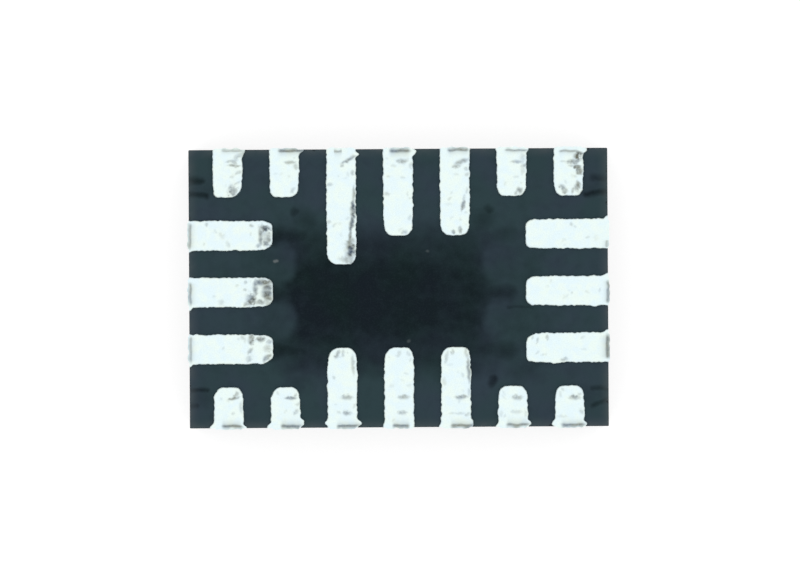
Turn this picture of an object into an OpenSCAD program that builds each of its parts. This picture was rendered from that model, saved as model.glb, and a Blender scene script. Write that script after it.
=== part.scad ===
// Battery-charger integrated circuit in a flat no-lead package, built as a flip chip on leads.
// A silicon die stands on copper pillars, each soldered to a lead of a half-etched copper frame.
// Epoxy is moulded round all of it, and the block is sawn out of a strip, so that the leads end
// flush with its walls. The part lies on its marked face, with its solder pads up.
// Origin: the centre of the marked face. +X runs along the long rows of leads, +Z out of the pads.
// Sizes are in millimetres.

/* [Moulded body] */
// Length of the sawn body, along the long rows of leads
body_length = 2.95; // [2.75:0.01:4.0]
// Width of the sawn body, along the short rows of leads
body_width = 1.96; // [1.8:0.01:3.0]
// How far the saw cuts of the two long walls lie off the middle of the lead frame, towards +Y
saw_shift = 0.024; // [0:0.002:0.04]
// Height from the marked face to the faces of the pads
package_height = 0.75; // [0.65:0.05:1.0]
// How far the pads stand proud of the moulded face
pad_standoff = 0.02; // [0.005:0.005:0.05]
// Diameter of the laser-cut dot that marks the first lead's corner
corner_dot_diameter = 0.25; // [0.1:0.05:0.4]
// Depth of that dot
corner_dot_depth = 0.01; // [0.005:0.005:0.03]
// Distance of the dot's middle from the two nearest walls
corner_dot_inset = 0.35; // [0.3:0.05:0.6]

/* [Leads] */
// Leads in each of the two long rows
long_row_count = 7; // [5:1:7]
// Leads in each of the two short rows
short_row_count = 3; // [1:1:3]
// Distance between the middles of neighbouring leads
lead_pitch = 0.4; // [0.36:0.01:0.42]
// Width of a lead and of its pad
lead_width = 0.2; // [0.15:0.01:0.24]
// Thickness of the lead frame
lead_thickness = 0.2; // [0.15:0.01:0.25]
// Radius of the inner corners of a lead
lead_corner_radius = 0.065; // [0.02:0.005:0.09]
// Distance from the long middle line to the signal pads, which are those nearest the corners
signal_pad_end = 0.675; // [0.625:0.025:0.75]
// Distance from the long middle line to the power pads, in the middle of the long rows
power_pad_end = 0.4; // [0.3:0.025:0.6]
// Distance from the long middle line to the one power pad that reaches furthest in
longest_pad_end = 0.2; // [0.15:0.025:0.4]
// Distance from the short middle line to the pads in the short rows
side_pad_end = 0.9; // [0.8:0.025:1.1]
// Number of power leads in each long row
power_count = 3; // [1:1:3]
// Which lead of the first long row has the longest pad, counted from the left
longest_lead_number = 3; // [3:1:5]

/* [Half-etched frame] */
// Thickness left where the frame is etched back from the side of the pads
etched_thickness = 0.1; // [0.07:0.01:0.13]
// Gap at which the etched tongues stop short of each other, under the die
tongue_gap = 0.1; // [0.06:0.01:0.12]
// Width of the etched bar that ties each corner lead to the short wall
tie_bar_width = 0.1; // [0.06:0.01:0.14]
// Distance of that bar's middle from the long middle line
tie_bar_place = 0.74; // [0.7:0.01:0.8]

/* [Die and its joints] */
// Length of the die
die_length = 2.6; // [2.3:0.05:2.7]
// Width of the die
die_width = 1.5; // [1.45:0.05:1.7]
// Thickness of the die
die_thickness = 0.2; // [0.1:0.01:0.25]
// Diameter of a copper pillar
pillar_diameter = 0.08; // [0.05:0.005:0.1]
// Height of a copper pillar
pillar_height = 0.05; // [0.03:0.005:0.07]
// Distance between pillars on the same lead
pillar_pitch = 0.15; // [0.12:0.01:0.2]
// Height of the solder between a pillar and its lead
solder_height = 0.03; // [0.02:0.005:0.05]
// How far the solder spreads past the pillar where it wets the lead
solder_spread = 0.015; // [0:0.005:0.02]
// Least distance between the solder and the edge of the die or the tip of its lead
solder_edge_gap = 0.005; // [0.005:0.005:0.015]

/* [Hidden] */
$fn = 48;
// How far a cutting tool runs past what it cuts
overcut = 0.02;
// The four walls, clockwise as seen from above
walls = ["upper", "right", "lower", "left"];

// Heights above the marked face
moulded_face_z = package_height - pad_standoff;
frame_z = package_height - lead_thickness;
solder_z = frame_z - solder_height;
die_face_z = solder_z - pillar_height;
die_back_z = die_face_z - die_thickness;

// Sizes that follow from those above. A flat stays between the two corners of a lead's end.
least_end_flat = 0.02;
corner_radius = min(lead_corner_radius, (lead_width - least_end_flat) / 2);
pillar_radius = pillar_diameter / 2;
solder_radius = pillar_radius + solder_spread;
landing_margin = solder_radius + solder_edge_gap;

function wall_turn(wall) = -90 * search([wall], walls)[0];
function is_long(wall) = wall == "upper" || wall == "lower";
function row_count(wall) = is_long(wall) ? long_row_count : short_row_count;
// Distance from the middle of the lead frame to a wall, and to the die's edge along that way and
// across it
function wall_distance(wall) =
    wall == "upper" ? body_width / 2 + saw_shift
    : wall == "lower" ? body_width / 2 - saw_shift
    : body_length / 2;
function die_edge(wall) = (is_long(wall) ? die_width : die_length) / 2;
function die_side(wall) = (is_long(wall) ? die_length : die_width) / 2;

// Distance from the middle of a row to the outer edge of the last of a number of its leads
function row_reach(count) = (count - 1) / 2 * lead_pitch + lead_width / 2;

// A lead is [wall, number along that wall]. Its own frame has +Y towards the wall, and X along it.
leads = [for (wall = walls) for (i = [0 : row_count(wall) - 1]) [wall, i]];
lead_names = [for (k = [1 : len(leads)]) str("lead_", k < 10 ? "0" : "", k)];

function lead_x(lead) = (lead[1] - (row_count(lead[0]) - 1) / 2) * lead_pitch;
function is_longest(lead) = lead == ["upper", longest_lead_number - 1];
function is_power(lead) =
    is_longest(lead) || is_long(lead[0]) && abs(lead_x(lead)) < row_reach(power_count);
function is_first(lead) = is_long(lead[0]) && lead[1] == 0;
function is_last(lead) = is_long(lead[0]) && lead[1] == long_row_count - 1;

// Distance from the middle of the part to the outer edge of the outermost power lead
power_reach = max([for (lead = leads) if (is_power(lead)) abs(lead_x(lead))]) + lead_width / 2;

// Inner end of a lead's pad, and of the etched tongue that carries on from it under the die.
// Power tongues stop short of the middle, side tongues of the power leads, and signal tongues
// of the side leads.
function pad_end(lead) =
    !is_long(lead[0]) ? side_pad_end
    : is_longest(lead) ? longest_pad_end
    : is_power(lead) ? power_pad_end
    : signal_pad_end;
function tongue_limit(lead) =
    !is_long(lead[0]) ? power_reach + tongue_gap
    : is_power(lead) ? tongue_gap / 2
    : row_reach(short_row_count) + tongue_gap;
function tongue_end(lead) = min(pad_end(lead), tongue_limit(lead));

// Pillars stand in one line on each lead, from its tip out to the edge of the die.
// On a lead that lies past the die's corner, the line moves in to stay on the die.
function pillar_x(lead) =
    let (limit = die_side(lead[0]) - landing_margin)
    max(-limit, min(limit, lead_x(lead)));
function pillar_ys(lead) =
    let (first = tongue_end(lead) + landing_margin, last = die_edge(lead[0]) - landing_margin)
    [for (y = [first : pillar_pitch : max(first, last)]) y];
pillars = [for (lead = leads) for (y = pillar_ys(lead)) [lead[0], pillar_x(lead), y]];

// Moves children from the middle of the lead frame to where the saw leaves it in the body
module at_frame() {
    translate([0, -saw_shift, 0])
        children();
}

// Turns children from a wall's own frame, where +Y points at that wall, into the part's frame
module at_wall(wall) {
    at_frame()
        rotate([0, 0, wall_turn(wall)])
            children();
}

// A bar along Y from one end to the other, with its two corners at the inner end rounded
module rounded_bar(width, inner, outer) {
    translate([-width / 2, inner + corner_radius])
        square([width, outer - inner - corner_radius]);
    translate([corner_radius - width / 2, inner])
        square([width - 2 * corner_radius, outer - inner]);
    for (side = [-1, 1])
        translate([side * (width / 2 - corner_radius), inner + corner_radius])
            circle(r = corner_radius);
}

// The landing that carries a lead sideways to its pillar, where the die's corner falls short of it
module side_landing(lead) {
    offset_x = pillar_x(lead) - lead_x(lead);
    if (offset_x != 0)
        translate([min(offset_x - landing_margin, 0), tongue_end(lead)])
            square([abs(offset_x) + landing_margin, 2 * landing_margin]);
}

// The etched bar from a corner lead to the short wall beside it
module tie_bar(lead, outward) {
    reach = body_length / 2 - abs(lead_x(lead)) + outward;
    along = is_first(lead) ? -reach : 0;
    if (is_first(lead) || is_last(lead))
        translate([along, tie_bar_place - tie_bar_width / 2])
            square([reach, tie_bar_width]);
}

// One lead in the part's frame. The pocket that it leaves in the epoxy is the same shape, run
// outward past the walls that the lead is flush with.
module lead_shape(lead, outward = 0) {
    outer = wall_distance(lead[0]) + outward;
    at_wall(lead[0])
        translate([lead_x(lead), 0, frame_z]) {
            linear_extrude(lead_thickness + outward)
                rounded_bar(lead_width, pad_end(lead), outer);
            linear_extrude(etched_thickness) {
                rounded_bar(lead_width, tongue_end(lead), outer);
                side_landing(lead);
                tie_bar(lead, outward);
            }
        }
}

module lead(number) {
    color("gainsboro")
        lead_shape(leads[number]);
}

module die_shape() {
    at_frame()
        translate([-die_length / 2, -die_width / 2, die_back_z])
            cube([die_length, die_width, die_thickness]);
}

module silicon_die() {
    color("slategray")
        die_shape();
}

// Children at the foot of every pillar, on the die's face
module at_pillars() {
    for (pillar = pillars)
        at_wall(pillar[0])
            translate([pillar[1], pillar[2], die_face_z])
                children();
}

module copper_pillars() {
    color("peru")
        at_pillars()
            cylinder(r = pillar_radius, h = pillar_height);
}

module solder_cone() {
    translate([0, 0, pillar_height])
        cylinder(r1 = pillar_radius, r2 = solder_radius, h = solder_height);
}

module solder_joints() {
    color("silver")
        at_pillars()
            solder_cone();
}

// The room that a pillar and its solder take, run into the die and the lead at its two ends
module pillar_room() {
    translate([0, 0, -overcut])
        cylinder(r = pillar_radius, h = pillar_height + overcut);
    solder_cone();
    translate([0, 0, pillar_height + solder_height])
        cylinder(r = solder_radius, h = overcut);
}

module corner_dot() {
    translate([corner_dot_inset - body_length / 2, body_width / 2 - corner_dot_inset, -overcut])
        cylinder(d = corner_dot_diameter, h = corner_dot_depth + overcut);
}

// The epoxy block, with the room that everything moulded into it takes
module mould_body() {
    color("darkslategray")
        difference() {
            translate([-body_length / 2, -body_width / 2, 0])
                cube([body_length, body_width, moulded_face_z]);
            for (lead = leads)
                lead_shape(lead, outward = overcut);
            die_shape();
            at_pillars()
                pillar_room();
            corner_dot();
        }
}

mould_body();
silicon_die();
copper_pillars();
solder_joints();
for (number = [0 : len(leads) - 1])
    lead(number);
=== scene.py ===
# %% [markdown]
# # A charger circuit in a leadless package, lying with its solder pads up
#
# The real part is a black epoxy block about 3 mm long. Twenty copper leads end flush with its walls,
# and their tin-plated pads stand a little proud of the face that is soldered to a board.
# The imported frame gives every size, so the script measures it and never repeats a number from it.
# Blender's tools have limits of about a micrometre, so pieces are modelled with one unit for a
# millimetre, and brought down to metres when they are done.

import math

import bpy
import numpy as np
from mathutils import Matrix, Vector, noise


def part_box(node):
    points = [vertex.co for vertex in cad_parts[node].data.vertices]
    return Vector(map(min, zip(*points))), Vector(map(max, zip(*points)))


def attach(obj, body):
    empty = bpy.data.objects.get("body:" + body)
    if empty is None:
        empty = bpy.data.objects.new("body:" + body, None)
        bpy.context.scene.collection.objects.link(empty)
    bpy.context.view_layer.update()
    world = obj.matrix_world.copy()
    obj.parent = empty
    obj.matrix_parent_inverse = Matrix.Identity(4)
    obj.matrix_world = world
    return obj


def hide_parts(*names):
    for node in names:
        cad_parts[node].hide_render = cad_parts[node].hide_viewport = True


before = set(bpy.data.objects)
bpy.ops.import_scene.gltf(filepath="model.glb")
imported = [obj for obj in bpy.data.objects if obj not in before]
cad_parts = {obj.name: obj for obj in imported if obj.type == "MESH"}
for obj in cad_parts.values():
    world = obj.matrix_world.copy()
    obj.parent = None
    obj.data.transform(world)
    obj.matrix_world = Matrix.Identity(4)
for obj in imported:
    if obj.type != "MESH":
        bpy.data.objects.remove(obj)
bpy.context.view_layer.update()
MM = 0.001
scene = bpy.context.scene
scene.view_settings.view_transform = "Standard"


# %% [markdown]
# ## Measuring the leads
#
# Seven leads stand in each long row and three in each short row. The top of a lead's solid is its
# pad, and the lower, half-etched part carries on under the die. Their sizes could be typed in again,
# but a change of the part would then leave them behind, so they are read from the solids' vertices.
# Each lead is measured in a frame of its own, where +Y points at its wall. One shape in that frame
# then serves every lead of the same size.

# %% Frame of a lead
# For each wall: the turn from a lead's own frame into the part's, and which way X then runs
TURNS = {"upper": 0, "right": -90, "lower": 180, "left": 90}
ROW_SIGN = {"upper": 1, "right": -1, "lower": -1, "left": 1}
# Places nearer to each other than this, in millimetres, count as the same
CLOSE = 1e-4
lead_names = sorted(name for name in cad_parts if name.startswith("lead_"))
body_low, body_high = [np.array(corner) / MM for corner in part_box("mould_body")]
mould_z = float(body_high[2])
# The middle lead of the right wall lies on the middle line of the whole lead frame
middle_low, middle_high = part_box("lead_09")
frame_middle = float(middle_low.y + middle_high.y) / 2 / MM


def node_points(node):
    return np.array([v.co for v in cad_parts[node].data.vertices]) / MM


def wall_of(pad):
    gaps = {
        "upper": body_high[1] - pad[:, 1].max(),
        "right": body_high[0] - pad[:, 0].max(),
        "lower": pad[:, 1].min() - body_low[1],
        "left": pad[:, 0].min() - body_low[0],
    }
    return min(gaps, key=gaps.get)


def facing_wall(points, wall):
    turn = math.radians(-TURNS[wall])
    x, y = points[:, 0], points[:, 1] - frame_middle
    across = x * math.cos(turn) - y * math.sin(turn)
    outward = x * math.sin(turn) + y * math.cos(turn)
    return np.stack([across, outward, points[:, 2]], axis=1)


print("middle line of the leads at", round(frame_middle, 4), "mm")


# %% Lead sizes
def measure_lead(node):
    points = node_points(node)
    levels = sorted(set(points[:, 2].round(4)))
    on_pad = points[:, 2] > levels[-1] - CLOSE
    wall = wall_of(points[on_pad])
    points = facing_wall(points, wall)
    pad_low, pad_high = points[on_pad].min(0), points[on_pad].max(0)
    middle = (pad_low[0] + pad_high[0]) / 2
    width = pad_high[0] - pad_low[0]
    points[:, 0] -= middle
    reach = points[np.abs(points[:, 0]) > width]
    tie = None
    if len(reach):
        tie = (float(reach[0, 0]), float(reach[:, 1].min()), float(reach[:, 1].max()))
    return {
        "wall": wall,
        "middle": float(middle),
        "width": float(width),
        "outer": float(pad_high[1]),
        "pad_end": float(pad_low[1]),
        "tongue_end": float(points[:, 1].min()),
        "levels": [float(level) for level in levels],
        "tie": tie,
    }


leads = {name: measure_lead(name) for name in lead_names}
frame_z, etched_z, pad_z = leads[lead_names[0]]["levels"]
for name, lead in leads.items():
    print(name, lead["wall"], "pad length", round(lead["outer"] - lead["pad_end"], 3))

# %% [markdown]
# ## Camera
#
# The photograph looks straight down through a microscope, from far away for the size of the part. A
# camera without perspective would come close, but a long lens high above keeps a trace of depth. Its
# view is as wide as the photograph's frame at the height of the pads, and it is turned by the small
# angle at which the part lay.

# %% Camera over the pads
PIXELS_ACROSS = 800
PIXELS_PER_MM = 142.1
CAMERA_HEIGHT = 50.0
VIEW_CENTRE = (0.0099, -0.0134)
VIEW_TURN = -0.34
SENSOR_WIDTH = 36.0
NEAREST_SEEN = 0.001
FURTHEST_SEEN = 2.0

camera_data = bpy.data.cameras.new("camera")
camera_data.sensor_width = SENSOR_WIDTH
camera_data.lens = SENSOR_WIDTH * CAMERA_HEIGHT * PIXELS_PER_MM / PIXELS_ACROSS
camera_data.clip_start = NEAREST_SEEN
camera_data.clip_end = FURTHEST_SEEN
camera = bpy.data.objects.new("camera", camera_data)
scene.collection.objects.link(camera)
camera.location = Vector((*VIEW_CENTRE, pad_z + CAMERA_HEIGHT)) * MM
camera.rotation_euler = (0, 0, math.radians(VIEW_TURN))
scene.camera = camera
print("lens in mm:", round(camera_data.lens, 1))

# %% [markdown]
# ## Modelling helpers
#
# A mesh could be written out as a list of points, but operators are closer to how a maker works. Every
# operator acts on what is selected, so each step deselects everything and picks faces or edges by where
# they are. Boxes are added at their size and place. Two solids are cut or joined by a Boolean modifier,
# which is applied at once so that the finished piece is a plain mesh.


# %% Selecting and placing
def select_only(*objects):
    bpy.ops.object.select_all(action="DESELECT")
    for obj in objects:
        obj.select_set(True)
    bpy.context.view_layer.objects.active = objects[0]


def apply_place():
    bpy.ops.object.transform_apply(location=True, rotation=True, scale=True)


def place(obj, move=(0, 0, 0), turn=0.0, scale=1.0):
    select_only(obj)
    obj.location = move
    obj.rotation_euler = (0, 0, math.radians(turn))
    obj.scale = (scale,) * 3
    apply_place()


def add_box(name, low, high):
    bpy.ops.object.select_all(action="DESELECT")
    middle = [(a + b) / 2 for a, b in zip(low, high)]
    bpy.ops.mesh.primitive_cube_add(size=1, location=middle)
    box = bpy.context.object
    box.name = name
    box.scale = [b - a for a, b in zip(low, high)]
    apply_place()
    return box


def copy_of(obj, name):
    twin = obj.copy()
    twin.data = obj.data.copy()
    twin.name = name
    scene.collection.objects.link(twin)
    return twin


def join(objects):
    select_only(*objects)
    bpy.ops.object.join()
    return objects[0]


print("helpers for boxes, copies and places are ready")


# %% Picking, finishes and Booleans
def pick(obj, kind, wanted):
    select_only(obj)
    bpy.ops.object.mode_set(mode="EDIT")
    bpy.ops.mesh.select_mode(type=kind)
    bpy.ops.mesh.select_all(action="DESELECT")
    bpy.ops.object.mode_set(mode="OBJECT")
    points = np.array([v.co for v in obj.data.vertices])
    items = obj.data.edges if kind == "EDGE" else obj.data.polygons
    for item in items:
        item.select = bool(wanted(points[list(item.vertices)], item))
    bpy.ops.object.mode_set(mode="EDIT")


def everything(points, item):
    return True


def leave_edit():
    bpy.ops.object.mode_set(mode="OBJECT")


def set_finish(obj, number, wanted):
    pick(obj, "FACE", wanted)
    obj.active_material_index = number
    bpy.ops.object.material_slot_assign()
    leave_edit()


def combine(piece, tool, operation):
    step = piece.modifiers.new("combine", "BOOLEAN")
    step.operation = operation
    step.solver = "EXACT"
    step.object = tool
    select_only(piece)
    bpy.ops.object.modifier_apply(modifier=step.name)
    bpy.data.objects.remove(tool, do_unlink=True)


print("helpers for picking, finishes and Booleans are ready")

# %% [markdown]
# ## Wiring nodes
#
# A finish is a tree of nodes, and wiring each socket by hand makes long code. These helpers add one
# node each, in the tree that its inputs come from. "feed" sets a socket to a number or joins it to
# another node, so that both are written the same way.

# %% Node helpers
MIX_FIRST = 6
MIX_SECOND = 7
MIX_RESULT = 2


def feed(socket, value):
    if isinstance(value, (int, float, tuple)):
        socket.default_value = value
    else:
        socket.id_data.links.new(value, socket)


def add_node(kind, values, **settings):
    tree = next(value.id_data for value in values if isinstance(value, bpy.types.NodeSocket))
    node = tree.nodes.new(kind)
    for label, setting in settings.items():
        setattr(node, label, setting)
    for socket, value in zip(node.inputs, values):
        feed(socket, value)
    return node


def vector_math(operation, *values):
    node = add_node("ShaderNodeVectorMath", values, operation=operation)
    return node.outputs["Value" if operation == "LENGTH" else "Vector"]


def maths(operation, first, second, clamp=False):
    node = add_node("ShaderNodeMath", (first, second), operation=operation, use_clamp=clamp)
    return node.outputs[0]


def blend_colour(factor, first, second):
    node = add_node("ShaderNodeMix", (factor,), data_type="RGBA")
    feed(node.inputs[MIX_FIRST], first)
    feed(node.inputs[MIX_SECOND], second)
    return node.outputs[MIX_RESULT]


def spread(value, low, high, from_low=0.3, from_high=0.7, smooth=False):
    shape = "SMOOTHSTEP" if smooth else "LINEAR"
    values = (value, from_low, from_high, low, high)
    return add_node("ShaderNodeMapRange", values, interpolation_type=shape).outputs["Result"]


print("helpers for nodes are ready")

# %% [markdown]
# ## Floor and light
#
# The part lies on a plain white ground under the soft, even light of a microscope. Lamps would leave
# their shapes on the tin, so the world itself is the light. It is brighter overhead than at the horizon,
# and that difference is what draws the relief on the tin. A wide pale floor keeps a faint shadow at the
# foot of the walls. What the camera sees of the floor and the world is raised to white through Light
# Path, so that no extra light falls on the part.

# %% Floor
FLOOR_SIZE = 600.0
FLOOR_DEPTH = 1.0
FLOOR_GAP = 0.002
FLOOR_COLOUR = (0.62, 0.62, 0.62, 1)
FLOOR_LIFT = 0.645
half_floor = FLOOR_SIZE / 2
floor = add_box("floor", (-half_floor, -half_floor, -FLOOR_DEPTH), (half_floor, half_floor, -FLOOR_GAP))
place(floor, scale=MM)

floor_paint = bpy.data.materials.new("floor_paint")
floor_paint.use_nodes = True
tree = floor_paint.node_tree
tree.nodes.clear()
path = tree.nodes.new("ShaderNodeLightPath")
seen = maths("MAXIMUM", path.outputs["Is Camera Ray"], path.outputs["Is Glossy Ray"])
seen = maths("MAXIMUM", seen, path.outputs["Is Transmission Ray"])
matt = tree.nodes.new("ShaderNodeBsdfDiffuse")
matt.inputs["Color"].default_value = FLOOR_COLOUR
glow = tree.nodes.new("ShaderNodeEmission")
feed(glow.inputs["Strength"], maths("MULTIPLY", seen, FLOOR_LIFT))
both = add_node("ShaderNodeAddShader", (matt.outputs[0], glow.outputs[0]))
add_node("ShaderNodeOutputMaterial", (both.outputs[0],))
floor.data.materials.append(floor_paint)
print("floor", FLOOR_SIZE, "mm wide, lifted by", FLOOR_LIFT)

# %% World
ZENITH_LIGHT = 1.31
HORIZON_LIGHT = 0.6
WHITE_LIGHT = 1.0
world = bpy.data.worlds.new("soft_dome")
world.use_nodes = True
scene.world = world
tree = world.node_tree
tree.nodes.clear()
direction = tree.nodes.new("ShaderNodeTexCoord")
split = add_node("ShaderNodeSeparateXYZ", (direction.outputs["Generated"],))
path = tree.nodes.new("ShaderNodeLightPath")
white = add_node("ShaderNodeMix", (path.outputs["Is Camera Ray"],), data_type="FLOAT")
feed(white.inputs["A"], spread(split.outputs["Z"], HORIZON_LIGHT, ZENITH_LIGHT, 0.0, 1.0))
feed(white.inputs["B"], WHITE_LIGHT)
sky = tree.nodes.new("ShaderNodeBackground")
feed(sky.inputs["Strength"], white.outputs["Result"])
add_node("ShaderNodeOutputWorld", (sky.outputs[0],))
print("world from", HORIZON_LIGHT, "at the horizon to", ZENITH_LIGHT, "overhead")

# %% [markdown]
# ## Shared effects
#
# Four effects are used again and again, so each is a node group, built once and placed with its own
# values. "speckle" is an even grain of a given size. "saw_lines" are the fine level lines that a dicing
# saw leaves on every wall. "cut_filler" shows the silica beads that the saw has sliced through.
# "soft_patch" is a rounded rectangle with a soft edge, for the tones that the buried copper gives the
# epoxy. Images could hold all this, but a pattern worked out from the place stays sharp at any zoom.

# %% Group helpers
FLOAT = "NodeSocketFloat"
VECTOR = "NodeSocketVector"
COLOUR = "NodeSocketColor"


def new_group(name, inputs, outputs):
    group = bpy.data.node_groups.new(name, "ShaderNodeTree")
    for label, value in inputs.items():
        kind = VECTOR if isinstance(value, tuple) else FLOAT
        socket = group.interface.new_socket(label, in_out="INPUT", socket_type=kind)
        socket.default_value = value
    for label, kind in outputs.items():
        group.interface.new_socket(label, in_out="OUTPUT", socket_type=kind)
    return group, group.nodes.new("NodeGroupInput"), group.nodes.new("NodeGroupOutput")


def add_texture(kind, place_mm, size_mm):
    texture = add_node(kind, (place_mm,))
    feed(texture.inputs["Scale"], maths("DIVIDE", 1.0, size_mm))
    return texture


print("helpers for groups are ready")

# %% Speckle
speckle, start, end = new_group(
    "speckle",
    {"Place": (0, 0, 0), "Grain mm": 0.02, "Detail": 2.0},
    {"Value": FLOAT, "Shift": COLOUR},
)
grains = add_texture("ShaderNodeTexNoise", start.outputs["Place"], start.outputs["Grain mm"])
feed(grains.inputs["Detail"], start.outputs["Detail"])
feed(end.inputs["Value"], grains.outputs["Fac"])
feed(end.inputs["Shift"], grains.outputs["Color"])
print("group", speckle.name)

# %% Saw lines
LINE_STRETCH = (0.02, 0.02, 1.0)
LINE_DETAIL = 3.0
LINE_ROUGHNESS = 0.6
saw_lines, start, end = new_group(
    "saw_lines",
    {"Place": (0, 0, 0), "Spacing mm": 0.006},
    {"Value": FLOAT},
)
stretched = vector_math("MULTIPLY", start.outputs["Place"], LINE_STRETCH)
strokes = add_texture("ShaderNodeTexNoise", stretched, start.outputs["Spacing mm"])
strokes.inputs["Detail"].default_value = LINE_DETAIL
strokes.inputs["Roughness"].default_value = LINE_ROUGHNESS
feed(end.inputs["Value"], strokes.outputs["Fac"])
print("group", saw_lines.name)

# %% Cut filler
LARGEST_BEAD = 0.42
BEAD_EDGE = 12.0
cut_filler, start, end = new_group(
    "cut_filler",
    {"Place": (0, 0, 0), "Spacing mm": 0.03},
    {"Mask": FLOAT},
)
cells = add_texture("ShaderNodeTexVoronoi", start.outputs["Place"], start.outputs["Spacing mm"])
chance = add_node("ShaderNodeSeparateColor", (cells.outputs["Color"],))
radius = maths("MULTIPLY", chance.outputs["Red"], LARGEST_BEAD)
inside = maths("SUBTRACT", radius, cells.outputs["Distance"])
inside = maths("MULTIPLY", inside, BEAD_EDGE, clamp=True)
feed(end.inputs["Mask"], maths("MULTIPLY", inside, chance.outputs["Green"]))
print("group", cut_filler.name)

# %% Soft patch
soft_patch, start, end = new_group(
    "soft_patch",
    {
        "Place": (0, 0, 0),
        "Middle": (0, 0, 0),
        "Half size": (0.1, 0.1, 10),
        "Corner mm": 0.02,
        "Soft mm": 0.05,
    },
    {"Mask": FLOAT},
)
away = vector_math("SUBTRACT", start.outputs["Place"], start.outputs["Middle"])
away = vector_math("ABSOLUTE", away)
away = vector_math("SUBTRACT", away, start.outputs["Half size"])
corner = add_node("ShaderNodeCombineXYZ", (start.outputs["Corner mm"],) * 3)
away = vector_math("ADD", away, corner.outputs[0])
away = vector_math("MAXIMUM", away, (0, 0, 0))
distance = vector_math("LENGTH", away)
distance = maths("SUBTRACT", distance, start.outputs["Corner mm"])
outer_edge = maths("MULTIPLY", start.outputs["Soft mm"], 0.5)
inner_edge = maths("MULTIPLY", outer_edge, -1.0)
feed(end.inputs["Mask"], spread(distance, 0.0, 1.0, outer_edge, inner_edge, smooth=True))
print("group", soft_patch.name)


# %% Material helpers
def new_material(name):
    material = bpy.data.materials.new(name)
    material.use_nodes = True
    tree = material.node_tree
    coordinates = tree.nodes.new("ShaderNodeTexCoord")
    place_mm = vector_math("SCALE", coordinates.outputs["Object"])
    place_mm.node.inputs["Scale"].default_value = 1 / MM
    return material, tree.nodes["Principled BSDF"], place_mm


def add_group(group, place_mm, **values):
    node = place_mm.id_data.nodes.new("ShaderNodeGroup")
    node.node_tree = group
    feed(node.inputs["Place"], place_mm)
    for label, value in values.items():
        node.inputs[label.replace("_", " ")].default_value = value
    return node


def add_speckle(place_mm, grain, detail=3.0):
    return add_group(speckle, place_mm, Grain_mm=grain, Detail=detail).outputs["Value"]


def dress(shader, colour, roughness):
    feed(shader.inputs["Base Color"], colour)
    feed(shader.inputs["Roughness"], roughness)


def add_bump(shader, height, depth_mm, strength):
    bump = shader.id_data.nodes.new("ShaderNodeBump")
    bump.inputs["Strength"].default_value = strength
    bump.inputs["Distance"].default_value = depth_mm * MM
    feed(bump.inputs["Height"], height)
    feed(shader.inputs["Normal"], bump.outputs["Normal"])


print("helpers for materials are ready")

# %% [markdown]
# ## Moulding compound
#
# The epoxy is full of silica beads and carbon black. On the face round the pads it is a matte slate
# blue, and darker where the half-etched copper lies close under it: in the middle, below the power
# leads, and in line with the side leads. These tones could be painted on the mesh by hand. Here they are
# a mask of soft patches placed from the frame, so that they follow the part's own shape.

# %% Tones of the moulded face
WANDER_GRAIN = 0.16
WANDER = (0.06, 0.06, 0.0)
NO_WANDER = (0.5, 0.5, 0.5)
ANY_HEIGHT = 10
moulded_face, shader, place_mm = new_material("moulded_face")
wander = add_group(speckle, place_mm, Grain_mm=WANDER_GRAIN, Detail=3.0)
shift = vector_math("SUBTRACT", wander.outputs["Shift"], NO_WANDER)
shift = vector_math("MULTIPLY", shift, WANDER)
wandered = vector_math("ADD", place_mm, shift)
split = add_node("ShaderNodeSeparateXYZ", (wandered,))


def ramp(axis, start, end, share=1.0):
    return spread(split.outputs[axis], 0.0, share, start, end, smooth=True)


def tone_patch(middle, half, corner, soft, strength, lean=0.0):
    level = add_node("ShaderNodeVectorRotate", (wandered, (*middle, 0)), rotation_type="Z_AXIS")
    level.inputs["Angle"].default_value = math.radians(-lean)
    patch = add_group(soft_patch, level.outputs["Vector"], Corner_mm=corner, Soft_mm=soft)
    patch.inputs["Middle"].default_value = (*middle, 0)
    patch.inputs["Half size"].default_value = (*half, ANY_HEIGHT)
    return maths("MULTIPLY", patch.outputs["Mask"], strength)


def tone_bar(start_x, end_x, y, half_width, corner, soft, strength, lean=0.0):
    middle = ((start_x + end_x) / 2, y)
    half = (abs(end_x - start_x) / 2, half_width)
    return tone_patch(middle, half, corner, soft, strength, lean)


def tone_spot(x, y, half_length, half_width, strength, lean, softness):
    least = min(half_length, half_width)
    return tone_patch((x, y), (half_length, half_width), least, softness * least, strength, lean)


def strongest(mask, *others):
    for other in others:
        mask = maths("MAXIMUM", mask, other)
    return mask


print("tones wander by up to", WANDER[0] / 2, "mm")

# %% Dark middle
# A fade is (from, to) in millimetres, and its share of the tone where two fades add up
side_leads = [lead for lead in leads.values() if lead["wall"] in ("left", "right")]
finger_end = side_leads[0]["pad_end"]
core_right = side_leads[0]["tongue_end"]
CORE_OVERHANG = 0.12
core_left = -core_right - CORE_OVERHANG
UPPER_FADES = ((0.57, 0.27, 0.70), (0.33, 0.05, 0.30))
LOWER_FADES = ((-0.70, -0.50, 0.65), (-0.52, -0.18, 0.35))
LEFT_FADE = (-finger_end - 0.07, core_left + 0.02)
RIGHT_FADE = (finger_end - 0.05, core_right - 0.10)
PALER_RIGHT = (0.05, 0.45, 0.10)
VEIL = {"middle": (0.0, -0.015), "half": (1.05, 0.435), "corner": 0.25, "soft": 0.5, "strength": 0.2}

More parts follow.
